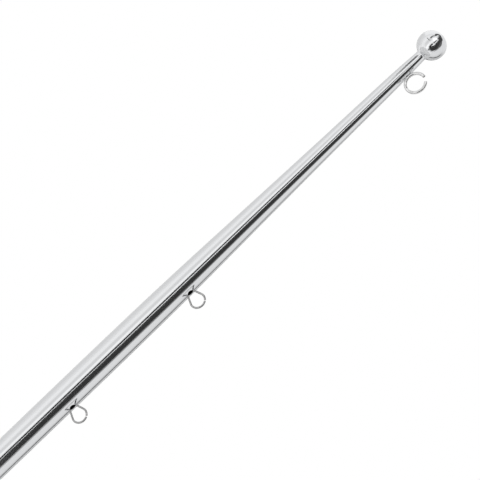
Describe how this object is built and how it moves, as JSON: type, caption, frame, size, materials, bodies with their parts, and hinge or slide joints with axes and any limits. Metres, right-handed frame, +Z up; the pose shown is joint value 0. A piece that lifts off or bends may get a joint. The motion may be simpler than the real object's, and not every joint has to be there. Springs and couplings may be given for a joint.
{
  "type": "tapered flagstaff",
  "caption": "Polished steel flagstaff: a straight hollow shank, a tapered upper part, a ball finial and open flag rings down one side.",
  "frame": {"origin": "centre of the flat face of the foot, on the staff's axis", "axes": "+Z up the staff towards the ball; +X towards the flag rings"},
  "size_m": [0.0426, 0.025, 0.6],
  "materials": {
    "polished_steel": "mirror polished stainless steel",
    "ring_wire": "polished stainless wire",
    "weld": "cleaned and buffed weld",
    "turned_steel": "fine turned face"
  },
  "bodies": {
    "root": {"staff_tube": "polished_steel", "ball_finial": "polished_steel", "foot_plug": "turned_steel", "upper_ring": "ring_wire", "upper_ring_weld": "weld", "middle_ring": "ring_wire", "middle_ring_top_weld": "weld", "middle_ring_bottom_weld": "weld", "lower_ring": "ring_wire", "lower_ring_top_weld": "weld", "lower_ring_bottom_weld": "weld"}
  },
  "joints": []
}
